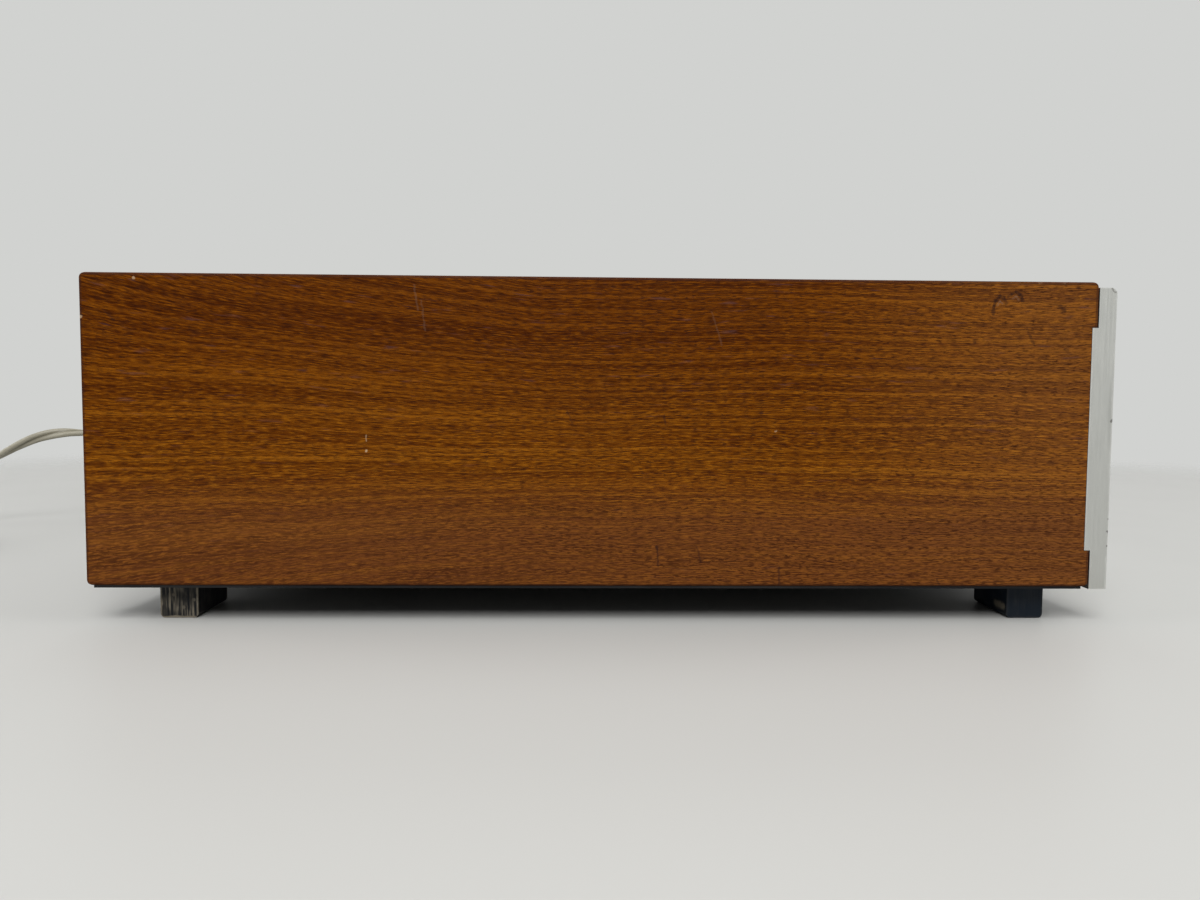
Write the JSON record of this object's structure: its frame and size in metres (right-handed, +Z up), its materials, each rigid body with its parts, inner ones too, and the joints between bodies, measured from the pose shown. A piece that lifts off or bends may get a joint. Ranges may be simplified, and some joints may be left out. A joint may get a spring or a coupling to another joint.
{
  "type": "stereo amplifier",
  "caption": "Slim stereo amplifier in a veneered wooden cabinet, with a thick aluminium front, turning knobs, push buttons, small black feet and a flat twin mains lead",
  "frame": {"origin": "on the floor, under the middle of the amplifier without its lead", "axes": "X to the right as the user faces the front, Y from front to rear, Z up"},
  "size_m": [0.43, 0.6016, 0.117],
  "materials": {
    "veneer": "satin walnut veneer, lightly worn",
    "bare_wood": "planed softwood",
    "black_wood": "worn black paint",
    "black_steel": "black enamel",
    "rear_steel": "satin black paint",
    "plated_steel": "zinc plated sheet",
    "screw_steel": "zinc plated, slotted",
    "front_aluminium": "fine brushed, clear anodised",
    "turned_aluminium": "turned, clear anodised",
    "shaft_brass": "drawn brass",
    "control_shell": "pressed and plated",
    "ivory_plastic": "moulded",
    "lens_amber": "clear amber lens",
    "socket_steel": "nickel plated",
    "core_steel": "varnished laminations",
    "winding_copper": "taped copper winding",
    "can_sleeve": "sleeved aluminium can",
    "sink_black": "black anodised",
    "board_brown": "paper laminate",
    "socket_laminate": "dark paper laminate",
    "black_plastic": "moulded",
    "relief_rubber": "moulded",
    "flex_vinyl": "grey-brown flexible vinyl"
  },
  "bodies": {
    "cabinet": {"left_side_board": "veneer", "right_side_board": "veneer", "top_board": "veneer", "side_cleats": "bare_wood", "front_left_foot": "black_wood", "front_right_foot": "black_wood", "rear_left_foot": "black_wood", "rear_right_foot": "black_wood", "bottom_plate": "black_steel", "rear_panel": "rear_steel", "panel_pillars": "plated_steel", "control_bracket": "plated_steel", "control_nuts": "plated_steel", "chassis_tray": "plated_steel", "transformer_clamp": "plated_steel", "board_standoffs": "plated_steel", "foot_screws": "screw_steel", "chassis_screws": "screw_steel", "front_panel": "front_aluminium", "headphone_ring": "turned_aluminium", "plug_pins": "shaft_brass", "bass_control": "control_shell", "treble_control": "control_shell", "balance_control": "control_shell", "volume_control": "control_shell", "selector_switch": "ivory_plastic", "switch_bank": "ivory_plastic", "power_switch": "ivory_plastic", "pilot_lamp": "lens_amber", "phono_sockets": "socket_steel", "output_transistors": "socket_steel", "transformer_core": "core_steel", "transformer_winding": "winding_copper", "reservoir_capacitors": "can_sleeve", "heat_sink": "sink_black", "main_board": "board_brown", "tone_board": "board_brown", "socket_plate": "socket_laminate", "headphone_socket": "black_plastic", "speaker_terminals": "black_plastic", "mains_plug": "black_plastic", "lead_tie": "black_plastic", "strain_relief": "relief_rubber", "mains_lead": "flex_vinyl", "lead_coil": "flex_vinyl"},
    "bass": {"bass_knob": "turned_aluminium", "bass_shaft": "shaft_brass"},
    "treble": {"treble_knob": "turned_aluminium", "treble_shaft": "shaft_brass"},
    "balance": {"balance_knob": "turned_aluminium", "balance_shaft": "shaft_brass"},
    "selector": {"selector_knob": "turned_aluminium", "selector_shaft": "shaft_brass"},
    "volume": {"volume_knob": "turned_aluminium", "volume_shaft": "shaft_brass"},
    "tape": {"tape_button": "turned_aluminium"},
    "mono": {"mono_button": "turned_aluminium"},
    "loudness": {"loudness_button": "turned_aluminium"},
    "filter": {"filter_button": "turned_aluminium"},
    "power": {"power_button": "turned_aluminium"}
  },
  "joints": [
    {"name": "bass_turn", "type": "hinge", "parent": "cabinet", "child": "bass", "pos_m": [-0.13833, -0.1645, 0.06355], "axis": [0, 1, 0], "range_deg": [-150, 150]},
    {"name": "treble_turn", "type": "hinge", "parent": "cabinet", "child": "treble", "pos_m": [-0.08667, -0.1645, 0.06355], "axis": [0, 1, 0], "range_deg": [-150, 150]},
    {"name": "balance_turn", "type": "hinge", "parent": "cabinet", "child": "balance", "pos_m": [-0.035, -0.1645, 0.06355], "axis": [0, 1, 0], "range_deg": [-150, 150]},
    {"name": "selector_turn", "type": "hinge", "parent": "cabinet", "child": "selector", "pos_m": [0.11233, -0.1645, 0.06355], "axis": [0, 1, 0], "range_deg": [-60, 60]},
    {"name": "volume_turn", "type": "hinge", "parent": "cabinet", "child": "volume", "pos_m": [0.172, -0.1645, 0.06355], "axis": [0, 1, 0], "range_deg": [0, 300]},
    {"name": "tape_push", "type": "slide", "parent": "cabinet", "child": "tape", "axis": [0, 1, 0], "range_m": [0, 0.004], "stiffness_N_per_m": 400},
    {"name": "mono_push", "type": "slide", "parent": "cabinet", "child": "mono", "axis": [0, 1, 0], "range_m": [0, 0.004], "stiffness_N_per_m": 400},
    {"name": "loudness_push", "type": "slide", "parent": "cabinet", "child": "loudness", "axis": [0, 1, 0], "range_m": [0, 0.004], "stiffness_N_per_m": 400},
    {"name": "filter_push", "type": "slide", "parent": "cabinet", "child": "filter", "axis": [0, 1, 0], "range_m": [0, 0.004], "stiffness_N_per_m": 400},
    {"name": "power_push", "type": "slide", "parent": "cabinet", "child": "power", "axis": [0, 1, 0], "range_m": [0, 0.004], "stiffness_N_per_m": 400}
  ]
}
